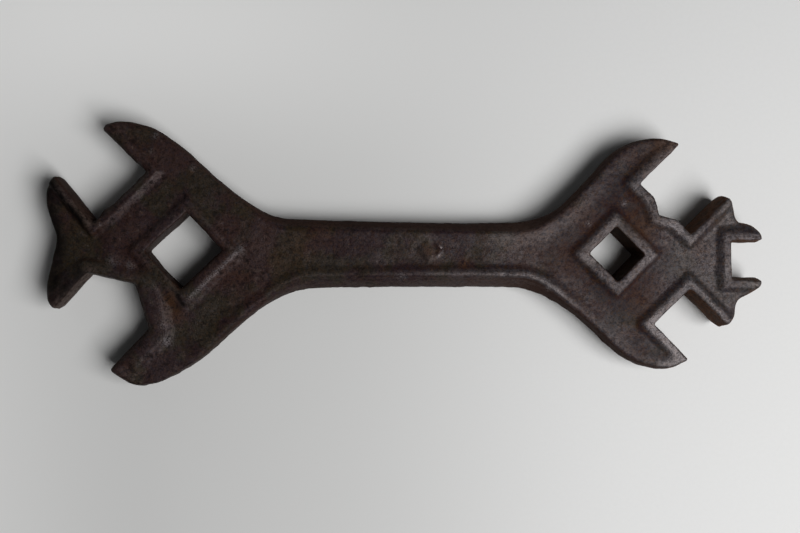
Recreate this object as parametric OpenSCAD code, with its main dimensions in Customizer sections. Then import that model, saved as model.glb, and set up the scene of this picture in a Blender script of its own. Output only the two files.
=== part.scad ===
// Multi-opening fire hydrant wrench: one flat casting with a head at each end of a short handle.
// The large head has a square jaw, a six-sided jaw and a fishtail between them.
// The small head has a wide jaw, a narrow jaw and a notched tail.
// Both heads have a square socket through them, and ribs line every edge of both faces.
// X runs from the large head to the small one, and Z = 0 is the plane that the lower ribs rest on.

/* [Casting] */
// Thickness over the ribs
thickness = 15; // [13:0.5:18]
// Height of the ribs above the web, on each face
rib_height = 1.6; // [1:0.1:2.2]
// Lean of each wall from the parting line to the face
draft = 0.75; // [0.4:0.05:0.9]
// Width of the rib along the outer edges
edge_rib_w = 2.6; // [2:0.1:3.2]

/* [Handle] */
// Width of the handle at the parting line
handle_w = 24.2; // [22:0.2:26]
// Extra lean of the handle's rounded sides
handle_lean = 2.2; // [1:0.1:2.6]
// Radius of the pad left by the casting gate
pad_r = 4.4; // [3:0.2:5]

/* [Large head] */
// Gap of the square jaw
square_jaw_gap = 25; // [23:0.2:26]
// Gap across the flats of the six-sided jaw
hex_jaw_gap = 28.4; // [27:0.2:30]
// Side of the square socket
large_socket = 18.4; // [17:0.2:19]
// Wear of the socket's wall on the side of the jaw with six sides
socket_wear = 2; // [0:0.2:2.4]
// Width of the frame around the socket
large_frame_w = 3.4; // [2.4:0.1:3.8]
// Extra width of the frame on the side of the long jaw
large_frame_extra = 1.6; // [0:0.2:2]
// Width of the ribs along the jaws
large_rib_w = 3; // [2.4:0.1:3.4]
// Extra width of the six-sided jaw's rib, on the side of the long jaw
hex_rib_extra = 3.4; // [0:0.2:4]

/* [Small head] */
// Gap of the wide jaw
wide_jaw_gap = 23.8; // [22:0.2:25]
// Gap of the narrow jaw
narrow_jaw_gap = 16.4; // [15:0.2:18]
// Side of the square socket
small_socket = 13.4; // [12.6:0.2:14.6]
// Wear of the socket's wall on the side of the narrow jaw
small_socket_wear = 0.8; // [0:0.2:1.6]
// Gap of the notch in the tail
tail_notch_gap = 12.4; // [11:0.2:13]
// Width of the ribs along the jaws and the notch
small_rib_w = 2.8; // [2.2:0.1:3.2]
// Width of the frame around the socket
small_frame_w = 3.3; // [2.4:0.1:3.6]

/* [Hidden] */

// Points in each span of a curve, and steps in the lean of the walls
span_steps = 4;
lean_steps = 2;
web_t = thickness - 2 * rib_height;
// Reach of an opening's cutting shape past the metal
mouth = 40;
$fn = 32;

// Places on the casting: the middle of each opening's seat or hole, and the way it faces
square_jaw_at = [-102, 20.4];
square_jaw_turn = 134.6;
prong_turn_in = 5;
hex_jaw_at = [-107.8, -23.1];
hex_jaw_turn = 226.5;
hex_flat_turn = hex_jaw_turn + 120;
large_socket_at = [-78.1, 1.7];
large_socket_turn = 43;
wide_jaw_at = [93.1, 16.3];
wide_jaw_turn = 45;
narrow_jaw_at = [95.5, -19.4];
narrow_jaw_turn = -45;
small_socket_at = [75.1, 0];
small_socket_turn = 45;
tail_notch_at = [116.7, -2.4];
pad_at = [8.2, 0.8];

// Half the handle's width where the wall has leaned by the part `lean` of its whole lean
function half_handle(lean) = handle_w / 2 - lean * handle_lean;

// Outer edges, at the parting line, from the large head's jaw tips to the small head's
function top_edge(lean) = [
    [-106.8, 46.3], [-100.5, 47.6], [-89, 44.4], [-78, 36.8], [-67, 26.9], [-56, 18.4],
    [-46, half_handle(lean) + 1.2], [-34, half_handle(lean) + 0.2],
    [0, half_handle(lean) - 0.6], [34, half_handle(lean) - 1], [46, half_handle(lean)],
    [56, 16.2], [66, 26], [76, 36.6], [85, 40.8], [92, 41.5], [98.8, 39.4]
];
function bottom_edge(lean) = [
    [-104.9, -42.9], [-96, -47.6], [-84, -44.8], [-73, -38], [-62, -28.4], [-50, -18.8],
    [-39, -half_handle(lean) - 1.6], [-29, -half_handle(lean) - 0.3],
    [0, -half_handle(lean)], [34, -half_handle(lean)], [46, -half_handle(lean) - 1.2],
    [57, -18.8], [67.7, -27.2], [78, -36.6], [87, -40.8], [94.2, -41.7], [101, -38.9]
];
// Edge of the fishtail between the large head's jaws, from its upper prong to its lower
fishtail_edge = [
    [-120.5, 26], [-124.3, 28.2], [-127.6, 24], [-128.1, 18.5], [-126.5, 11.5], [-124.7, 4.5],
    [-126.4, -3.5], [-128.1, -11], [-127.5, -16.5], [-125, -20], [-120.5, -20.2]
];
// Edge of the small head's tail, from its upper prong to its lower
tail_edge = [
    [111.5, 20], [115.4, 21], [118.1, 16.5], [119.3, 11.8], [125, 9.8], [128, 4.4],
    [128, -9.8], [125, -14.2], [119.3, -17.4], [118.3, -22.8], [114.6, -26.6], [110, -26.2]
];

// A smooth curve through the points
function blend(a, b, c, d, t) = 0.5 * (2 * b + (c - a) * t
    + (2 * a - 5 * b + 4 * c - d) * t * t + (3 * b - a - 3 * c + d) * t * t * t);
function curve(p) = let (last = len(p) - 1) [
    for (i = [0 : last - 1], step = [0 : span_steps - 1])
        blend(p[max(i - 1, 0)], p[i], p[i + 1], p[min(i + 2, last)], step / span_steps),
    p[last]
];
function reversed(p) = [for (i = [len(p) - 1 : -1 : 0]) p[i]];

// The casting's outline with nothing cut out of it
module blank(lean) {
    polygon(concat(curve(top_edge(lean)), curve(tail_edge),
                   reversed(curve(bottom_edge(lean))), reversed(curve(fishtail_edge))));
}

// A jaw that faces +X, with its seat at X = 0 and one wall turned in by an angle
module jaw(gap, turn_in = 0) {
    polygon([
        [0, -gap / 2], [mouth, -gap / 2],
        [mouth, gap / 2 - mouth * tan(turn_in)], [0, gap / 2]
    ]);
}

module square_jaw() {
    translate(square_jaw_at) rotate(square_jaw_turn) jaw(square_jaw_gap, prong_turn_in);
}

module hex_jaw() {
    translate(hex_jaw_at) rotate(hex_jaw_turn) {
        circle(d = hex_jaw_gap / cos(30), $fn = 6);
        jaw(hex_jaw_gap);
    }
}

// The wide jaw's seat has a shallow vee in the middle, for a corner of a nut
module wide_jaw() {
    vee_half_w = 5.5;
    vee_depth = 3;
    translate(wide_jaw_at) rotate(wide_jaw_turn) {
        jaw(wide_jaw_gap);
        polygon([[0, -vee_half_w], [-vee_depth, 0], [0, vee_half_w]]);
    }
}

module narrow_jaw() {
    translate(narrow_jaw_at) rotate(narrow_jaw_turn) jaw(narrow_jaw_gap);
}

module tail_notch() {
    translate(tail_notch_at) jaw(tail_notch_gap);
}

// A square hole, with the wall on its -X side moved back by `wear` and the one on -Y by `extra`
module socket(at, turn, side, wear = 0, extra = 0) {
    translate(at) rotate(turn)
        translate([-side / 2 - wear, -side / 2 - extra]) square([side + wear, side + extra]);
}

module large_hole(extra = 0) {
    socket(large_socket_at, large_socket_turn, large_socket, socket_wear, extra);
}

module small_hole() {
    socket(small_socket_at, small_socket_turn, small_socket, 0, small_socket_wear);
}

module small_jaws() {
    wide_jaw();
    narrow_jaw();
    tail_notch();
}

// The outline with its jaws, `lean` of the way from the parting line to the face
module outline(lean) {
    offset(delta = -draft * lean) difference() {
        blank(lean);
        square_jaw();
        hex_jaw();
        small_jaws();
    }
}

// The sunken part of each face: all that is clear of the outer edges and of the openings.
// It runs out through the fishtail and the tail, which have no rib along their ends.
module web_area() {
    past_ends = 150;
    difference() {
        offset(delta = -draft - edge_rib_w) polygon(concat(
            curve(top_edge(1)), [[past_ends, 39], [past_ends, -39]],
            reversed(curve(bottom_edge(1))), [[-past_ends, -43], [-past_ends, 46]]
        ));
        offset(delta = large_rib_w + draft) {
            square_jaw();
            hex_jaw();
            translate(hex_rib_extra * [cos(hex_flat_turn), sin(hex_flat_turn)]) hex_jaw();
        }
        offset(delta = large_frame_w) large_hole(large_frame_extra);
        offset(delta = small_rib_w + draft) small_jaws();
        offset(delta = small_frame_w) small_hole();
    }
}

module slab(height) {
    translate([0, 0, thickness / 2]) linear_extrude(height, center = true) children();
}

module ribs() {
    slab(thickness) difference() {
        outline(1);
        web_area();
    }
}

module gate_pad() {
    translate([0, 0, thickness / 2]) translate(pad_at) cylinder(h = web_t / 2 + 0.6, r = pad_r);
}

// The sockets are cored holes, so their walls stand straight
module wrench_casting() {
    color([0.27, 0.24, 0.23]) difference() {
        union() {
            for (step = [0 : lean_steps])
                slab(web_t * (step + 1) / (lean_steps + 1)) outline(step / lean_steps);
            ribs();
            gate_pad();
        }
        slab(thickness + 2) {
            large_hole();
            small_hole();
        }
    }
}

wrench_casting();
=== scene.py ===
import bpy
import numpy as np
import openvdb
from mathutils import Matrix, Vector


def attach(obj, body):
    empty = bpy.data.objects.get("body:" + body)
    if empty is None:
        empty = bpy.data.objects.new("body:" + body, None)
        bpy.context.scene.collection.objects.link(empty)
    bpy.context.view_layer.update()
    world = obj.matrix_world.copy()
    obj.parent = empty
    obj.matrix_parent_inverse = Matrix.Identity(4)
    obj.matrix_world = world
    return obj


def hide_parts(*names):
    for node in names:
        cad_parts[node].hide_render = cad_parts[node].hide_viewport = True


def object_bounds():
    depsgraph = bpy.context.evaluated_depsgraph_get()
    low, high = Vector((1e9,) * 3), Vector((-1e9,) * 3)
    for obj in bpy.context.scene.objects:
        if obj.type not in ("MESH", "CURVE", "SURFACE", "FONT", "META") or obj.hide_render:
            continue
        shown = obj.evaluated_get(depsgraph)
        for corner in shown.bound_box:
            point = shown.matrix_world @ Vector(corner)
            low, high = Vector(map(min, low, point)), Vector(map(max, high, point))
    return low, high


# The visible casting is a level set grown from cuts through the CAD part, in millimetres,
# and is turned into one mesh in metres at the end. Heights are measured from the parting plane.
# An upper edge or side is the one at high Y, and a lower one is at low Y, as seen from above.

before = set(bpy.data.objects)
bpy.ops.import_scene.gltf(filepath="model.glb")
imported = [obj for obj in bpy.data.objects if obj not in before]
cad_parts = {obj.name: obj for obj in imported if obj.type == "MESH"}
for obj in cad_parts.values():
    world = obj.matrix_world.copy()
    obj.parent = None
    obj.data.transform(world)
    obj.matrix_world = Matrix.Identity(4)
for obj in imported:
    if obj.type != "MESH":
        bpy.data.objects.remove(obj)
cad_low, cad_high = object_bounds()

MM = 0.001
CELL = 0.42  # side of a grid cell
MARGIN = 4.0  # empty space kept round the part
GRID_SHIFT = 0.0137  # keeps the grid's lines off round numbers, where CAD points lie
REACH = 14.0  # distances past this are cut off
MAX_TRIANGLES = 190_000

RIB_HALF = round((cad_high.z - cad_low.z) / 2 / MM, 3)  # half the thickness over the ribs
MID = round((cad_high.z + cad_low.z) / 2 / MM, 3)  # height of the parting plane above the floor
WEB_HALF = 5.9  # half the web's thickness
RIB_RISE = RIB_HALF - WEB_HALF
SLOPE_END = 0.5  # the slope up to a rib ends this far in from the rib's edge
CROWN = 0.0004  # each face falls away from its middle line by this times the distance squared
JAW_TIPS = (-107.0, 100.0)  # where the outer edges end, along X
HANDLE_LEAN = 3.4  # extra distance from the handle's outline in to its web
RIM_REACH = 5.6  # distance from the other outer edges in to the web
SMALL_SOCKET = (75.1, 0.0)
SOCKET_REACH = 10.5  # no wall of the small socket is further than this from its middle
PAD = (8.4, 0.9)  # middle of the pad left by the casting gate


# ---- Grid -------------------------------------------------------------------------------

def axis(low, high):
    """Grid positions from below `low` to above `high`, off any round number."""
    count = int((high - low + 2 * MARGIN) / CELL) + 1
    return low - MARGIN + GRID_SHIFT + CELL * np.arange(count)


GX = axis(cad_low.x / MM, cad_high.x / MM)
GY = axis(cad_low.y / MM, cad_high.y / MM)
GZ = axis(-RIB_HALF, RIB_HALF)
PLAN_X, PLAN_Y = np.meshgrid(GX, GY, indexing="ij")


def smoothstep(low, high, value):
    """0 at `low`, 1 at `high`, and a smooth rise between. It falls if `low` is above `high`."""
    t = np.clip((value - low) / (high - low), 0.0, 1.0)
    return t * t * (3.0 - 2.0 * t)


def blur(field, radius):
    """Gaussian blur of a plan field, with its edge values carried on outwards."""
    half = max(1, int(3 * radius / CELL))
    weights = np.exp(-0.5 * (np.arange(-half, half + 1) * CELL / radius) ** 2)
    weights /= weights.sum()
    for direction in (0, 1):
        pad = [(half, half) if a == direction else (0, 0) for a in (0, 1)]
        wide = np.pad(field, pad, mode="edge")
        size = field.shape[direction]
        field = sum(w * wide.take(range(k, k + size), axis=direction) for k, w in enumerate(weights))
    return field


# ---- Cuts through the CAD part ------------------------------------------------------------

def cut(obj, height):
    """Line segments where a level plane crosses a mesh. `height` is above the parting plane."""
    mesh = obj.data
    mesh.calc_loop_triangles()
    points = np.zeros(len(mesh.vertices) * 3)
    mesh.vertices.foreach_get("co", points)
    points = points.reshape(-1, 3) / MM
    corners = np.zeros(len(mesh.loop_triangles) * 3, int)
    mesh.loop_triangles.foreach_get("vertices", corners)
    level = height + MID
    segments = []
    for triangle in points[corners.reshape(-1, 3)]:
        below = [p for p in triangle if p[2] < level]
        above = [p for p in triangle if p[2] >= level]
        if below and above:
            ends = [(a + (b - a) * (level - a[2]) / (b[2] - a[2]))[:2] for a in below for b in above]
            segments.append(ends)
    return np.array(segments)


def inside(segments):
    """True at the grid points that a closed set of segments goes round."""
    turns = np.zeros((len(GX) + 1, len(GY)), int)
    for (ax, ay), (bx, by) in segments:
        if by < ay:
            ax, ay, bx, by = bx, by, ax, ay
        rows = np.arange(*np.searchsorted(GY, (ay, by)))
        if len(rows):
            crossing = ax + (GY[rows] - ay) / (by - ay) * (bx - ax)
            np.add.at(turns, (np.searchsorted(GX, crossing), rows), 1)
    return np.cumsum(turns, axis=0)[:-1] % 2 == 1


def distance(segments):
    """Distance from each grid point to the nearest segment, up to REACH."""
    nearest = np.full(PLAN_X.shape, REACH)
    for (ax, ay), (bx, by) in segments:
        i = slice(*np.searchsorted(GX, (min(ax, bx) - REACH, max(ax, bx) + REACH)))
        j = slice(*np.searchsorted(GY, (min(ay, by) - REACH, max(ay, by) + REACH)))
        px, py, dx, dy = GX[i, None] - ax, GY[None, j] - ay, bx - ax, by - ay
        t = np.clip((px * dx + py * dy) / max(dx * dx + dy * dy, 1e-12), 0.0, 1.0)
        nearest[i, j] = np.minimum(nearest[i, j], np.hypot(px - t * dx, py - t * dy))
    return nearest


def signed(segments):
    """Distance to the segments, positive where they go round the point."""
    return np.where(inside(segments), 1.0, -1.0) * distance(segments)


def at_points(field, x, y):
    """A plan field read between its grid points."""
    u = np.clip((x - GX[0]) / CELL, 0, len(GX) - 1.001)
    v = np.clip((y - GY[0]) / CELL, 0, len(GY) - 1.001)
    i, j = u.astype(int), v.astype(int)
    u, v = u - i, v - j
    left = field[i, j] * (1 - v) + field[i, j + 1] * v
    right = field[i + 1, j] * (1 - v) + field[i + 1, j + 1] * v
    return left * (1 - u) + right * u


# The cuts lie just off the parting plane, the web's face and the ribs' tops
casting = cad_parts["wrench_casting"]
parting = signed(cut(casting, 0.05))
shoulder = signed(cut(casting, WEB_HALF - 0.3))
rib_cut = cut(casting, RIB_HALF - 0.3)
on_rib = inside(rib_cut)

# The rib cut goes round each rib. Its segments that lie well within the shoulder bound the web.
WELL_WITHIN = 0.5
middles = rib_cut.mean(axis=1)
web_edge = rib_cut[at_points(shoulder, middles[:, 0], middles[:, 1]) > WELL_WITHIN]

# The highest and the lowest Y with metal, at each X of the grid
solid = parting > 0
solid_y = np.where(solid, PLAN_Y, np.nan)
filled = solid.any(axis=1)
top_y = np.zeros(len(GX))
low_y = np.zeros(len(GX))
top_y[filled] = np.nanmax(solid_y[filled], axis=1)
low_y[filled] = np.nanmin(solid_y[filled], axis=1)


def near_outer_edge(points):
    """True for the points that lie close below the upper outer edge, or close above the lower."""
    x, y = points[:, 0], points[:, 1]
    on_handle = smoothstep(-72, -58, x) * smoothstep(72, 58, x)
    within = RIM_REACH + HANDLE_LEAN * on_handle
    between_tips = (x > JAW_TIPS[0]) & (x < JAW_TIPS[1])
    under_top = np.interp(x, GX, top_y) - y < within
    over_low = y - np.interp(x, GX, low_y) < within
    return between_tips & (under_top | over_low)


# Signed distances to the web's edge, positive on the metal: one for the rims along the outer
# edges, and one for the ribs along the openings
is_rim = near_outer_edge(web_edge.mean(axis=1))
rim_distance = distance(web_edge[is_rim])
rib_distance = distance(web_edge[~is_rim])
nearer_rim = rim_distance < rib_distance
rim = np.where(on_rib & nearer_rim, rim_distance, -rim_distance)
rib = np.where(on_rib & ~nearer_rim, rib_distance, -rib_distance)


# ---- The level set --------------------------------------------------------------------------

def noise(points, size, seed):
    """Smooth random values from -1 to 1 that change over `size` millimetres."""
    place = points / size
    base = np.floor(place).astype(int)
    part = place - base
    part = part * part * (3.0 - 2.0 * part)
    lowest = base.min(axis=0)
    base = base - lowest
    table = np.random.default_rng(seed).uniform(-1, 1, base.max(axis=0) + 2)
    total = 0.0
    for corner in np.ndindex(2, 2, 2):
        weight = np.prod(np.where(corner, part, 1.0 - part), axis=-1)
        total = total + weight * table[tuple((base + corner).T)]
    return total


def plan_noise(size, seed):
    """Smooth random values over the plan."""
    points = np.stack([PLAN_X.ravel(), PLAN_Y.ravel(), 0.0 * PLAN_X.ravel()], axis=1)
    return noise(points, size, seed).reshape(PLAN_X.shape)


def spot(x, y, at, radius):
    """A round mark: 1 at its middle and fading to nothing past `radius`."""
    return np.exp(-((x - at[0]) ** 2 + (y - at[1]) ** 2) / radius ** 2)


def carried_out(field, known, steps):
    """Fills a plan field outwards from the points where it is known."""
    field = np.where(known, field, 0.0)
    for _ in range(steps):
        total = np.zeros_like(field)
        count = np.zeros_like(field)
        for di, dj in ((0, 1), (1, 0), (0, -1), (-1, 0)):
            moved = np.roll(known, (di, dj), axis=(0, 1))
            total += np.where(moved, np.roll(field, (di, dj), axis=(0, 1)), 0.0)
            count += moved
        new = ~known & (count > 0)
        field[new] = total[new] / count[new]
        known = known | new
    return field


def smooth_min(a, b, width):
    """The smaller of two fields, with a round of `width` where they meet."""
    share = np.clip(0.5 + 0.5 * (b - a) / width, 0.0, 1.0)
    return a * share + b * (1.0 - share) - width * share * (1.0 - share)


def plan_spot(at, radius):
    """A round mark on the plan."""
    return spot(PLAN_X, PLAN_Y, at, radius)


# Shares over the plan, from 0 to 1. The large head is worn soft, and the small one is crisp.
SOFT = smoothstep(40, -40, PLAN_X)
ON_HEADS = smoothstep(48, 80, np.abs(PLAN_X + 4))
TOWARD_SMALL = smoothstep(-40, 30, PLAN_X)
AT_TIPS = np.maximum(smoothstep(-91, -104, PLAN_X), smoothstep(84, 97, PLAN_X))
ON_FISHTAIL = smoothstep(-104, -110, PLAN_X)
FISHTAIL_END = smoothstep(-116, -121, PLAN_X)
UPPER = smoothstep(-4, 4, PLAN_Y)
LOWER = 1 - UPPER


def slope(edge_distance, foot):
    """0 on the web and 1 on a rib, with a slope between that reaches out as far as its foot."""
    return smoothstep(0, 1, (edge_distance + foot) / (foot + SLOPE_END))


def ribs():
    """Share of the full height at the ribs along the openings.

    A slope that faces +X is wider than the others on the large head, and narrower on the small
    one. It swells beside the six-sided jaw and the wide jaw, and on the lower half of the fishtail.
    """
    by_hex_jaw = (-87, -14)
    by_wide_jaw = (92, 30)
    away_x, away_y = np.gradient(-rib, CELL)
    facing = smoothstep(-0.6, 0.9, 0.9 * away_x - 0.4 * away_y)
    large_foot = 1.6 + 1.2 * facing + 4.5 * plan_spot(by_hex_jaw, 9)
    fishtail_foot = 0.8 + 4.2 * smoothstep(2, -6, PLAN_Y)
    large_foot += (fishtail_foot - large_foot) * ON_FISHTAIL
    small_foot = 3.0 - 0.9 * facing + 1.5 * plan_spot(by_wide_jaw, 9)
    return slope(rib, blur(small_foot + (large_foot - small_foot) * SOFT, 1.2))


def rims():
    """Share of the full height at the rims along the outer edges.

    They stand highest on the handle's lower side. They fade on the heads, and rise to full
    height again at the jaws' tips.
    """
    upper = 0.25 + 0.3 * TOWARD_SMALL - ON_HEADS * (0.15 + 0.1 * TOWARD_SMALL)
    lower = 0.55 + 0.45 * TOWARD_SMALL - ON_HEADS * (0.43 + 0.15 * TOWARD_SMALL)
    share = lower + (upper - lower) * UPPER
    share += (1.0 - share) * AT_TIPS
    return slope(rim, 3.2 + 1.8 * ON_HEADS) * share


def relief():
    """Height of a face over the parting plane: the web, with the ribs and rims that stand on it."""
    share = 1.0 - smooth_min(1.0 - ribs(), 1.0 - rims(), 0.25)
    # The fishtail's web is sunk deeper than the rest, less so at its very end
    extra_drop = 0.9 * ON_FISHTAIL * smoothstep(-132, -122, PLAN_X)
    height = RIB_HALF - (RIB_RISE + extra_drop) * (1.0 - np.clip(share, 0.0, 1.0))
    height = blur(carried_out(height, shoulder > 0, steps=12), 0.45)
    return height - CROWN * PLAN_Y ** 2


def gate_pad():
    """A low diamond on the handle's front face. Its corner towards the small head is raised."""
    x, y = PLAN_X - PAD[0], PLAN_Y - PAD[1]
    reach = np.abs(x) + np.abs(y)
    corner = np.exp(-((reach - 4.3) / 0.5) ** 2) * smoothstep(1.6, 3.4, x)
    return 0.3 * smoothstep(5.2, 3.0, reach) + 0.6 * corner


def uneven(height, seed):
    """A face with broad and small unevenness added to it."""
    return height + 0.18 * plan_noise(size=17, seed=seed) + 0.12 * plan_noise(size=6, seed=seed + 1)


# Chips out of the seats of the square and the wide jaw: (x, y, radius, depth). A chip with a
# negative depth is a swelling.
CHIPS = (
    (-93.4, 31.6, 2.2, 0.5), (-98.6, 25.4, 2.0, 0.6), (-104.4, 19.8, 2.2, 0.7),
    (-107.2, 15.4, 1.6, -0.6), (-96.3, 28.0, 1.5, -0.4), (96.6, 20.6, 1.5, 0.4),
)


def weathered(outline, corner_blur, wobble, hollow=0.0):
    """An outline with its corners rounded, its edges made uneven and its chips cut out."""
    outline = blur(outline, corner_blur) + wobble - hollow
    for x, y, radius, depth in CHIPS:
        outline = outline - depth * plan_spot((x, y), radius)
    return outline


def rounding():
    """How widely the walls round over into the faces.

    The long outer edges, the fishtail's end and the large head's edges that are turned away
    from the small head are rounded the most.
    """
    out_x, out_y = np.gradient(-shoulder, CELL)
    turned_away = blur(smoothstep(0.3, -0.9, 0.9 * out_x - 0.4 * out_y), 0.8)
    width = 0.45 + SOFT * (0.4 + 2.6 * turned_away * (1 - FISHTAIL_END)) * (1 - 0.7 * outer)
    width += outer * (0.9 + 1.1 * LOWER - ON_HEADS * (0.2 + 1.1 * LOWER))
    return width + 0.8 * FISHTAIL_END


def seam():
    """The thin uneven line where the mould's halves met, which shows most on the lower side."""
    strength = 0.3 + 0.7 * np.clip(plan_noise(size=2.4, seed=31), 0, 1)
    strength *= 0.4 * outer * smoothstep(20, -20, PLAN_Y)
    return strength[..., None] * np.exp(-(GZ / 0.55) ** 2)


def undercut():
    """Wear at the foot of the large socket's wall on the side of the six-sided jaw."""
    socket_foot = (-86.3, -6.0)
    depth = 0.8 * plan_spot(socket_foot, 8)
    return depth[..., None] * smoothstep(4, -6, GZ)


# The faces. The back one is drawn in a little, so that it stays above the floor.
BACK_INSET = 0.25
top = relief()
front = uneven(top + gate_pad(), seed=11)
back = uneven(top, seed=13) - BACK_INSET

# The outlines are uneven, more so on the heads, and hollow along the handle's upper side
HANDLE_TOP = (0, 12)
wobble = 0.20 * plan_noise(size=9, seed=21) + 0.10 * plan_noise(size=3.5, seed=22)
wobble *= 0.3 + 0.7 * ON_HEADS
parting = weathered(parting, 0.3, wobble, hollow=0.3 * UPPER * plan_spot(HANDLE_TOP, 34))
shoulder = weathered(shoulder, 0.35, wobble)

# Distance in from the outer edges, and the share of each place that belongs to them
edge_below_top = np.interp(PLAN_X, GX, top_y) - PLAN_Y
edge_over_low = PLAN_Y - np.interp(PLAN_X, GX, low_y)
from_outer = np.minimum(edge_below_top, edge_over_low)
outer = smoothstep(7, 3, from_outer)
round_width = rounding()
shoulder = shoulder + 0.4 * FISHTAIL_END

# The field is positive in the metal: walls that lean from the parting plane to the shoulder,
# cut off by the faces
levels = np.abs(GZ)
lean = np.clip(levels / WEB_HALF, 0.0, 1.0) ** 1.5
walls = parting[..., None] * (1.0 - lean) + shoulder[..., None] * lean
walls += seam()
walls -= undercut()
height = np.where(GZ > 0, front[..., None], back[..., None])
slope_x, slope_y = np.gradient(top, CELL)
steepness = np.sqrt(1.0 + slope_x ** 2 + slope_y ** 2)
faces = (height - levels) / steepness[..., None]
field = smooth_min(walls, faces, round_width[..., None])

OUTSIDE = 3.0  # value of the level set far from the metal
grid = openvdb.FloatGrid()
grid.background = OUTSIDE
grid.copyFromArray(np.ascontiguousarray(-field, dtype=np.float32))
spots, quads = grid.convertToQuads()
points = spots * CELL + np.array([GX[0], GY[0], GZ[0]])


# ---- The mesh -------------------------------------------------------------------------------

def new_object(name, points, polygons):
    mesh = bpy.data.meshes.new(name)
    mesh.from_pydata(points.tolist(), [], polygons.tolist())
    mesh.validate()
    obj = bpy.data.objects.new(name, mesh)
    bpy.context.scene.collection.objects.link(obj)
    return obj


def vertex_normals(mesh):
    normals = np.zeros(len(mesh.vertices) * 3)
    mesh.vertex_normals.foreach_get("vector", normals)
    return normals.reshape(-1, 3)


def vertex_points(mesh):
    points = np.zeros(len(mesh.vertices) * 3)
    mesh.vertices.foreach_get("co", points)
    return points.reshape(-1, 3)


def roughen(obj):
    """Moves the surface in and out by the grain of the sand mould, and in at scattered pits."""
    grain_depth = 0.05
    pit_depth = 0.3
    pit_threshold = 0.55
    points, normals = vertex_points(obj.data), vertex_normals(obj.data)
    grain = grain_depth * noise(points, size=2.8, seed=41) + grain_depth * noise(points, size=1.5, seed=42)
    pits = np.clip(noise(points, size=1.5, seed=43) - pit_threshold, 0.0, 1.0)
    points += normals * (grain - pit_depth * pits)[:, None]
    obj.data.vertices.foreach_set("co", points.ravel())
    obj.data.update()


def thin_out(obj):
    """Merges triangles where the surface is plain, down to MAX_TRIANGLES."""
    obj.data.calc_loop_triangles()
    count = len(obj.data.loop_triangles)
    if count <= MAX_TRIANGLES:
        return
    modifier = obj.modifiers.new("thin out", "DECIMATE")
    modifier.ratio = MAX_TRIANGLES / count
    evaluated = obj.evaluated_get(bpy.context.evaluated_depsgraph_get())
    mesh = bpy.data.meshes.new_from_object(evaluated)
    obj.modifiers.clear()
    obj.data = mesh


def neighbour_mean(mesh, values, rounds):
    """Mean of the values at each vertex's neighbours, taken `rounds` times."""
    edges = np.zeros(len(mesh.edges) * 2, int)
    mesh.edges.foreach_get("vertices", edges)
    a, b = edges.reshape(-1, 2).T
    count = np.bincount(a, minlength=len(values)) + np.bincount(b, minlength=len(values))
    for _ in range(rounds):
        total = np.zeros_like(values)
        np.add.at(total, a, values[b])
        np.add.at(total, b, values[a])
        values = total / np.maximum(count, 1).reshape((-1,) + (1,) * (values.ndim - 1))
    return values


def store(mesh, name, values):
    layer = mesh.attributes.new(name, "FLOAT", "POINT")
    layer.data.foreach_set("value", np.asarray(values, np.float32))


# Bare metal and painted highlights, rust, dust and painted light, and grime and painted shade. Each spot
# is (x, y, radius, strength), and each line is (from, to, half its width, strength).
# The bare spots and lines are bare metal and painted highlights, on slopes and on the pad's corner that
# face the window.
BARE_AND_HIGHLIGHT_SPOTS = (
    (-84.5, -31.4, 1.7, 1.0), (-86.0, -25.5, 1.2, 0.6), (-58.2, 1.6, 1.3, 0.9), (-88.7, 42.1, 1.0, 0.8),
    (-104.0, -3.0, 2.0, 0.5), (-97.5, -4.5, 1.6, 0.6), (-83.5, -8.0, 1.0, 0.5), (-90.0, 36.4, 0.8, 0.5),
    (-94.5, 31.5, 1.0, 0.6), (78.4, 17.8, 0.9, 0.9), (65.6, 10.7, 0.8, 0.8), (51.3, -12.3, 1.0, 1.0),
    (84.0, -3.4, 1.0, 0.7), (-1.0, -8.3, 1.6, 0.6), (-75.4, 30.0, 1.0, 0.6), (103.5, -38.0, 1.4, 0.9),
)
BARE_AND_HIGHLIGHT_LINES = (
    ((-76.2, -15.6), (-58.0, 2.0), 0.7, 0.75), ((12.9, 2.6), (13.6, 0.8), 0.4, 1.0),
    ((13.6, 0.8), (12.0, -1.3), 0.4, 0.8), ((-90.6, 1.6), (-77.6, 13.6), 0.5, 0.4),
    ((104.5, -12.0), (113.1, -23.6), 0.9, 0.45), ((112.4, 7.0), (112.4, -10.5), 1.2, 0.12),
)
RUST_SPOTS = (
    (-83.5, -16.5, 2.6, 0.9), (-81.5, -22.0, 3.0, 0.6), (-58.5, -7.5, 6.0, 0.3), (-52.5, 19.0, 4.0, 0.3),
    (21.3, -3.7, 1.8, 0.9), (42.0, 6.5, 7.0, 0.3), (-117.0, 13.0, 4.0, 0.3), (-28.0, 8.5, 5.0, 0.3),
    (92.0, 26.5, 5.0, 0.4), (84.0, -18.0, 5.0, 0.4), (83.0, 12.0, 6.0, 0.45), (58.0, -3.0, 8.0, 0.25),
    (-46.0, -4.0, 5.0, 0.3), (-75.9, 29.0, 0.7, 0.9), (91.0, 38.0, 4.0, 0.6), (86.0, 8.0, 4.0, 0.4),
    (104.5, 2.0, 4.0, 0.35), (110.0, 12.0, 3.5, 0.35), (8.8, 0.6, 2.6, 0.6), (96.0, 40.0, 4.5, 0.9),
    (-36.0, 3.0, 6.0, 0.35), (62.0, 16.0, 6.0, 0.3), (84.0, 33.0, 6.0, 0.35),
)
# The dust lines are dust and painted light, on the fishtail's prong walls that face the window
DUST_AND_LIGHT_LINES = (
    ((-111.8, 10.7), (-123.7, 22.8), 1.4, 0.8), ((-124.5, -20.0), (-111.2, -6.0), 1.6, 0.8),
)
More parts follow.
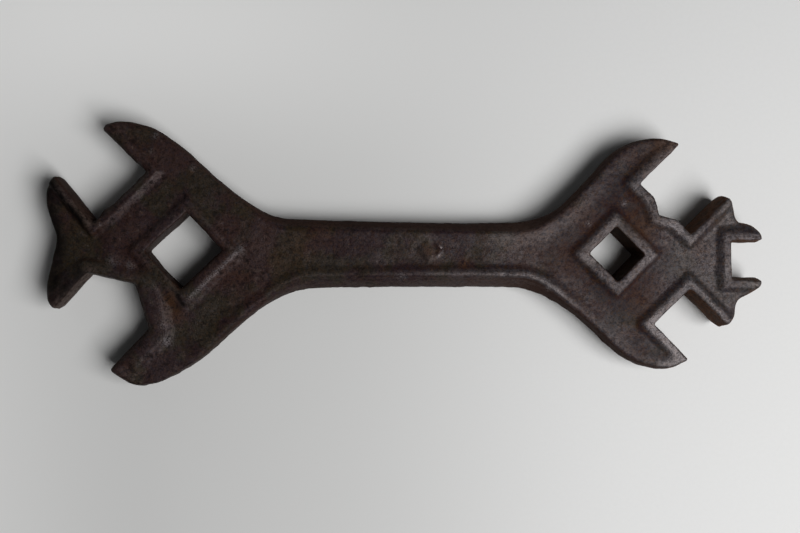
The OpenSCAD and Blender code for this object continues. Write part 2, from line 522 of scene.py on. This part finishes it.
# The grime lines are grime and painted shade: dark lines on the sides of the fishtail's ribs and end
# turned from the window, beside the handle's pad, and on the large head.
GRIME_AND_SHADE_LINES = (
    ((-125.4, 24.8), (-114.4, 10.9), 1.5, 1.0), ((-126.3, 22.0), (-125.2, 13.0), 2.6, 0.9),
    ((-125.2, 13.0), (-122.8, 4.0), 2.6, 0.9), ((-122.8, 4.0), (-125.0, -12.0), 2.6, 0.9),
    ((-123.5, -15.5), (-114.5, -7.5), 3.2, 0.8), ((-80.6, -14.6), (-78.4, -18.4), 1.0, 1.0),
    ((5.2, 2.2), (8.0, -2.4), 1.0, 0.5),
)


def spots_at(x, y, spots):
    """Strength of a list of spots at each point."""
    return np.clip(sum(k * spot(x, y, (px, py), radius) for px, py, radius, k in spots), 0.0, 1.0)


def lines_at(x, y, lines):
    """Strength of a list of lines at each point."""
    total = np.zeros_like(x)
    for (ax, ay), (bx, by), half_width, strength in lines:
        dx, dy = bx - ax, by - ay
        along = np.clip(((x - ax) * dx + (y - ay) * dy) / (dx * dx + dy * dy), 0.0, 1.0)
        off = np.hypot(x - ax - along * dx, y - ay - along * dy)
        total = np.maximum(total, strength * np.exp(-(off / half_width) ** 2))
    return total


def wear_and_sheen(x, y, z, hollow):
    """Share of wear and of painted sheen: wear is strongest on the small head's ribs, weaker round its
    socket and on its tail, and a painted sheen lies along the outer edges towards the small head.
    """
    by_small_socket = (77.0, 0.0)
    raised = (np.abs(z) - WEB_HALF) / RIB_RISE
    raised += CROWN * y ** 2 / RIB_RISE
    on_ribs = smoothstep(0.45, 0.85, raised) * (0.1 + 0.9 * smoothstep(-20, 70, x))
    on_ribs *= 1.0 - 0.5 * spot(x, y, by_small_socket, 15)
    on_ribs *= 1.0 - 0.35 * smoothstep(100, 110, x)
    on_tail = 0.62 * smoothstep(80, 106, x) * (1.0 - 0.7 * hollow)
    # Painted sheen near the outer edges towards the small head
    painted_rim_sheen = smoothstep(15, 5, at_points(from_outer, x, y)) * smoothstep(20, 50, x)
    return np.maximum(on_ribs, np.maximum(on_tail, 0.25 * painted_rim_sheen))


def mark(mesh):
    """Stores what the material needs to know about each point of the mesh."""
    points, normals = vertex_points(mesh), vertex_normals(mesh)
    x, y, z = points.T
    upright = np.abs(normals[:, 2])
    front_side = z > 0

    bulge = -np.einsum("ij,ij->i", neighbour_mean(mesh, points, 4) - points, normals)
    bulge = neighbour_mean(mesh, bulge, 3)
    hollow = smoothstep(0.05, 0.25, -bulge)
    store(mesh, "edge", smoothstep(0.07, 0.28, bulge))
    store(mesh, "hollow", hollow)

    rib_shine = 0.55
    web_shine = 0.18 + 0.05 * smoothstep(-40, 30, x) - 0.13 * smoothstep(38, 62, x)
    worn_and_sheen = wear_and_sheen(x, y, z, hollow)
    store(mesh, "worn_and_sheen", worn_and_sheen)
    store(mesh, "shine", web_shine + (rib_shine - web_shine) * worn_and_sheen)
    # Bare metal and painted highlights, on the front face only
    store(mesh, "bare_and_highlight", np.maximum(spots_at(x, y, BARE_AND_HIGHLIGHT_SPOTS), lines_at(x, y, BARE_AND_HIGHLIGHT_LINES)) * front_side)

    # Walls are dull and brown, but less so where they face the window, short of the small head: this
    # change with the window is painted light
    toward_light = smoothstep(-0.1, -0.9, normals[:, 1]) * smoothstep(50, 25, x)
    wall = smoothstep(0.85 - 0.12 * toward_light, 0.45 - 0.12 * toward_light, upright)
    store(mesh, "side", wall * (1.0 - 0.55 * toward_light))

    in_small_socket = wall * (np.hypot(x - SMALL_SOCKET[0], y - SMALL_SOCKET[1]) < SOCKET_REACH)
    store(mesh, "rust", np.maximum(spots_at(x, y, RUST_SPOTS) * front_side, 0.9 * in_small_socket))
    # Grime and painted shade along the marked lines, and the small socket's walls darkened as well
    grime_and_shade = lines_at(x, y, GRIME_AND_SHADE_LINES) * (upright > 0.3)
    store(mesh, "grime_and_shade", np.maximum(grime_and_shade, 0.3 * in_small_socket))
    # Dust and painted light along the fishtail's prong walls
    store(mesh, "dust_and_light", lines_at(x, y, DUST_AND_LIGHT_LINES))
    store(mesh, "tail", smoothstep(88, 102, x))
    store(mesh, "small_head", smoothstep(-60, 90, x))


piece = new_object("cast_wrench", points, quads)
roughen(piece)
thin_out(piece)
mark(piece.data)
final = vertex_points(piece.data) * MM
final[:, 2] += MID * MM
piece.data.vertices.foreach_set("co", final.ravel())
piece.data.update()
piece.data.shade_smooth()
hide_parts("wrench_casting")
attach(piece, "root")


# ---- Material -------------------------------------------------------------------------------

class Shader:
    """Short calls for building a node material."""

    def __init__(self, name):
        self.material = bpy.data.materials.new(name)
        self.material.use_nodes = True
        self.tree = self.material.node_tree
        self.surface = self.tree.nodes["Principled BSDF"]

    def node(self, kind, **inputs):
        """A node with its inputs set. An underscore stands for a space in an input's name."""
        made = self.tree.nodes.new("ShaderNode" + kind)
        for name, value in inputs.items():
            self.put(made.inputs[name.replace("_", " ")], value)
        return made

    def put(self, socket, value):
        """Links a socket to another, or sets it to a colour or a number."""
        if isinstance(value, bpy.types.NodeSocket):
            self.tree.links.new(value, socket)
        elif socket.type == "RGBA":
            socket.default_value = (*value, 1.0)
        else:
            socket.default_value = value

    def attribute(self, name):
        """A value that mark() stored on the mesh."""
        made = self.node("Attribute")
        made.attribute_name = name
        return made.outputs["Fac"]

    def noise(self, place, scale, detail=4.0, roughness=0.55):
        """Random patches, from 0 to 1."""
        made = self.node("TexNoise", Vector=place, Scale=scale, Detail=detail, Roughness=roughness)
        return made.outputs["Fac"]

    def split(self, place):
        """The X and Y of a place."""
        made = self.node("SeparateXYZ", Vector=place)
        return made.outputs["X"], made.outputs["Y"]

    def maths(self, operation, a, b=0.0):
        made = self.node("Math")
        made.operation = operation
        self.put(made.inputs[0], a)
        self.put(made.inputs[1], b)
        return made.outputs[0]

    def ramp(self, value, low, high):
        """0 below `low`, 1 above `high`, and a smooth rise between."""
        made = self.node("MapRange", Value=value, From_Min=low, From_Max=high)
        made.interpolation_type = "SMOOTHSTEP"
        return made.outputs["Result"]

    def mix(self, share, a, b):
        """A colour that goes from a to b."""
        made = self.node("Mix")
        made.data_type = "RGBA"
        self.put(made.inputs[0], share)
        self.put(made.inputs[6], a)
        self.put(made.inputs[7], b)
        return made.outputs[2]

    def blend(self, share, a, b):
        """A number that goes from a to b."""
        made = self.node("Mix")
        self.put(made.inputs[0], share)
        self.put(made.inputs[2], a)
        self.put(made.inputs[3], b)
        return made.outputs[0]


def cast_iron():
    """Old brown iron: patches of oxide, then grains, dirt, rust and worn metal over them, with painted
    highlights, sheen, light and shade, and near-black in the hollows.
    """
    s = Shader("cast_iron_old")
    place = s.node("TexCoord").outputs["Object"]
    edge, hollow, worn_and_sheen = s.attribute("edge"), s.attribute("hollow"), s.attribute("worn_and_sheen")
    bare_and_highlight_place, rust_place, grime_and_shade = s.attribute("bare_and_highlight"), s.attribute("rust"), s.attribute("grime_and_shade")
    small_head, side = s.attribute("small_head"), s.attribute("side")
    patches = s.noise(place, 65.0, 4.0, 0.6)
    drift = s.noise(place, 38.0, 3.0, 0.6)
    broad = s.noise(place, 52.0, 4.0, 0.65)
    cool_patches = s.noise(place, 88.0, 3.0, 0.6)
    blotch = s.noise(place, 210.0, 4.0, 0.7)
    mottle = s.noise(place, 800.0, 3.0, 0.75)
    speckle = s.noise(place, 1900.0, 2.0, 0.7)
    tint = s.noise(place, 900.0, 3.0, 0.8)
    dirt_patches = s.noise(place, 310.0, 4.0, 0.75)
    dust_patches = s.noise(place, 430.0, 4.0, 0.75)

    purple_brown = (0.0200, 0.0098, 0.0108)
    red_brown = (0.0270, 0.0125, 0.0110)
    olive = (0.0190, 0.0140, 0.0078)
    slate = (0.0230, 0.0215, 0.0240)
    side_brown = (0.0300, 0.0140, 0.0098)
    cool_grain = (0.0095, 0.0120, 0.0200)
    warm_grain = (0.0460, 0.0220, 0.0105)
    rust = (0.066, 0.029, 0.011)
    brown_rust = (0.050, 0.026, 0.015)
    orange_rust = (0.085, 0.034, 0.013)
    dust_and_light = (0.068, 0.048, 0.041)
    metal = (0.20, 0.185, 0.190)
    near_black = (0.0022, 0.0017, 0.0017)
    warm_shine = (1.0, 0.88, 0.87)

    colour = s.mix(s.ramp(patches, 0.44, 0.56), purple_brown, olive)
    colour = s.mix(s.ramp(drift, 0.48, 0.62), colour, red_brown)
    # Grey patches, and grey where the casting is worn and where its sheen near the rims is painted
    greyed = s.maths("MAXIMUM", s.ramp(blotch, 0.48, 0.62), s.ramp(cool_patches, 0.50, 0.58))
    greyed = s.maths("MULTIPLY", greyed, s.blend(small_head, 0.1, 0.6))
    greyed = s.maths("MAXIMUM", greyed, s.maths("MULTIPLY", worn_and_sheen, 0.85))
    colour = s.mix(greyed, colour, slate)
    # Warm and cool grains, most of them on the small head
    grain_share = s.blend(small_head, 0.42, 0.80)
    colour = s.mix(s.maths("MULTIPLY", s.ramp(tint, 0.52, 0.66), grain_share), colour, warm_grain)
    colour = s.mix(s.maths("MULTIPLY", s.ramp(tint, 0.48, 0.34), grain_share), colour, cool_grain)
    # Dirt and dust lie in patches on the large head
    on_large = s.maths("SUBTRACT", 1.0, small_head)
    dirt = s.maths("MULTIPLY", s.ramp(dirt_patches, 0.54, 0.64), s.maths("MULTIPLY", on_large, 0.6))
    colour = s.mix(dirt, colour, near_black)
    dusty = s.maths("MULTIPLY", s.ramp(dust_patches, 0.58, 0.68), s.maths("MULTIPLY", on_large, 0.5))
    colour = s.mix(dusty, colour, dust_and_light)
    # Walls are brown, less so where they face the window as painted light, and rusty round the tail
    rusty_side = s.mix(s.ramp(dirt_patches, 0.42, 0.56), brown_rust, orange_rust)
    colour = s.mix(side, colour, s.mix(s.attribute("tail"), side_brown, rusty_side))
    # Dust and painted light along the marked lines on the fishtail
    colour = s.mix(s.maths("MULTIPLY", s.attribute("dust_and_light"), s.ramp(mottle, 0.36, 0.56)), colour, dust_and_light)
    # Rust in the marked places and in a thin scatter of grains
    rusty = s.maths("MULTIPLY", rust_place, s.ramp(mottle, 0.32, 0.56))
    grains = s.maths("MULTIPLY", s.ramp(speckle, 0.60, 0.70), s.ramp(blotch, 0.48, 0.66))
    colour = s.mix(s.maths("MULTIPLY", s.maths("MAXIMUM", rusty, grains), 0.75), colour, rust)
    # Dark grains in the pores of the casting
    pores = s.maths("MAXIMUM", s.ramp(mottle, 0.50, 0.38), s.ramp(speckle, 0.47, 0.36))
    colour = s.mix(s.maths("MULTIPLY", pores, s.blend(small_head, 0.5, 0.25)), colour, near_black)
    # Metal shows where hands and nuts have rubbed, and as painted sheen near the small head's rims and
    # painted highlights at the marked places
    rubbed_and_sheen = s.maths("MULTIPLY", edge, s.blend(small_head, 0.12, 0.35))
    rubbed_and_sheen = s.maths("ADD", rubbed_and_sheen, s.maths("MULTIPLY", worn_and_sheen, 0.25))
    rubbed_and_sheen = s.maths("MULTIPLY", rubbed_and_sheen, s.ramp(mottle, 0.42, 0.60))
    bare_and_highlight = s.maths("MULTIPLY", bare_and_highlight_place, s.ramp(speckle, 0.40, 0.62))
    wear_and_sheen = s.maths("MINIMUM", s.maths("ADD", rubbed_and_sheen, bare_and_highlight), 1.0)
    colour = s.mix(s.maths("MULTIPLY", wear_and_sheen, 0.6), colour, metal)
    # Near-black in the hollows, more on the large head, and along the marked lines of grime and painted
    # shade
    dark = s.maths("MULTIPLY", hollow, s.blend(small_head, 0.6, 0.25))
    grimy_and_shaded = s.maths("MULTIPLY", grime_and_shade, s.blend(s.ramp(dirt_patches, 0.40, 0.50), 0.7, 1.0))
    colour = s.mix(s.maths("MAXIMUM", dark, grimy_and_shaded), colour, near_black)
    s.put(s.surface.inputs["Base Color"], colour)
    s.put(s.surface.inputs["Metallic"], s.maths("MULTIPLY", wear_and_sheen, 0.5))

    burnished = s.maths("MULTIPLY", worn_and_sheen, s.blend(pores, 1.0, 0.4))
    shine = s.maths("MULTIPLY", s.attribute("shine"), s.blend(pores, 1.0, 0.6))
    shine = s.maths("MULTIPLY", shine, s.blend(rust_place, 1.0, 0.25))
    shine = s.maths("MULTIPLY", shine, s.blend(s.ramp(broad, 0.42, 0.58), 0.7, 1.25))
    dull = s.maths("MAXIMUM", side, s.maths("MAXIMUM", grimy_and_shaded, dirt))
    s.put(s.surface.inputs["Specular IOR Level"], s.blend(dull, shine, 0.05))
    s.put(s.surface.inputs["Specular Tint"], warm_shine)
    roughness = s.blend(burnished, s.blend(s.ramp(mottle, 0.35, 0.65), 0.50, 0.42), 0.38)
    s.put(s.surface.inputs["Roughness"], s.blend(dull, roughness, 0.75))

    coarse = s.node("Bump", Height=mottle, Strength=1.0, Distance=0.00011)
    fine = s.node("Bump", Height=speckle, Strength=1.0, Distance=0.00012, Normal=coarse.outputs["Normal"])
    s.put(s.surface.inputs["Normal"], fine.outputs["Normal"])
    return s.material


piece.data.materials.clear()
piece.data.materials.append(cast_iron())


# ---- Stage ----------------------------------------------------------------------------------

def paper():
    """Pale paper, with painted shade under the large head and painted light past it and to its upper left.
    """
    s = Shader("pale_paper")
    place = s.node("TexCoord").outputs["Object"]
    across, up = s.split(place)
    dark_grain = (0.68, 0.68, 0.675)
    light_grain = (0.71, 0.71, 0.705)
    painted_shade_under_large_head = (0.61, 0.61, 0.603)
    painted_light_past_large_head = (0.84, 0.84, 0.83)
    painted_light_upper_left = (0.93, 0.93, 0.92)
    tone = s.mix(s.noise(place, 700.0, 3.0), dark_grain, light_grain)
    tone = s.mix(s.ramp(across, 0.09, -0.03), tone, painted_shade_under_large_head)
    tone = s.mix(s.ramp(across, -0.09, -0.19), tone, painted_light_past_large_head)
    # Painted light to the upper left
    corner = s.maths("MULTIPLY", s.ramp(across, 0.10, -0.16), s.ramp(up, 0.01, 0.09))
    s.put(s.surface.inputs["Base Color"], s.mix(corner, tone, painted_light_upper_left))
    s.put(s.surface.inputs["Roughness"], 0.9)
    return s.material


def floor():
    half = 1.5  # metres
    corners = np.array([(-half, -half, 0), (half, -half, 0), (half, half, 0), (-half, half, 0)])
    made = new_object("floor", corners, np.array([[0, 1, 2, 3]]))
    made.data.materials.append(paper())


def area_light(name, at, aim, size, power):
    data = bpy.data.lights.new(name, "AREA")
    data.shape = "RECTANGLE"
    data.size, data.size_y = size
    data.energy = power
    made = bpy.data.objects.new(name, data)
    made.location = at
    direction = Vector(aim) - made.location
    made.rotation_euler = direction.to_track_quat("-Z", "Y").to_euler()
    bpy.context.scene.collection.objects.link(made)


def room_light(overhead, horizon):
    """A room that is darker overhead than round its walls."""
    world = bpy.data.worlds.new("room")
    world.use_nodes = True
    tree = world.node_tree
    place = tree.nodes.new("ShaderNodeTexCoord")
    split = tree.nodes.new("ShaderNodeSeparateXYZ")
    fall = tree.nodes.new("ShaderNodeMapRange")
    fall.inputs["From Min"].default_value = 0.15
    fall.inputs["From Max"].default_value = 0.9
    fall.inputs["To Min"].default_value = horizon
    fall.inputs["To Max"].default_value = overhead
    background = tree.nodes["Background"]
    cool_white = (0.96, 0.98, 1.0, 1.0)
    background.inputs["Color"].default_value = cool_white
    tree.links.new(place.outputs["Generated"], split.inputs[0])
    tree.links.new(split.outputs["Z"], fall.inputs["Value"])
    tree.links.new(fall.outputs["Result"], background.inputs["Strength"])
    bpy.context.scene.world = world


def camera(at, lens, shift):
    """Looks straight down. The shift brings the whole wrench to the middle of the picture."""
    data = bpy.data.cameras.new("camera")
    data.sensor_width = 36.0
    data.lens = lens
    data.shift_x, data.shift_y = shift
    made = bpy.data.objects.new("camera", data)
    made.location = at
    bpy.context.scene.collection.objects.link(made)
    bpy.context.scene.camera = made


floor()
area_light("window", at=(0.38, -0.20, 0.64), aim=(0, 0, 0), size=(0.54, 0.46), power=6.5)
area_light("card", at=(-0.36, 0.24, 0.10), aim=(-0.2, 0.1, 0), size=(0.1, 0.1), power=0.05)
room_light(overhead=0.03, horizon=0.09)
camera(at=(-0.02365, -0.0006, 0.3375), lens=40.97, shift=(0.0775, -0.0144))
bpy.context.scene.view_settings.view_transform = "Standard"
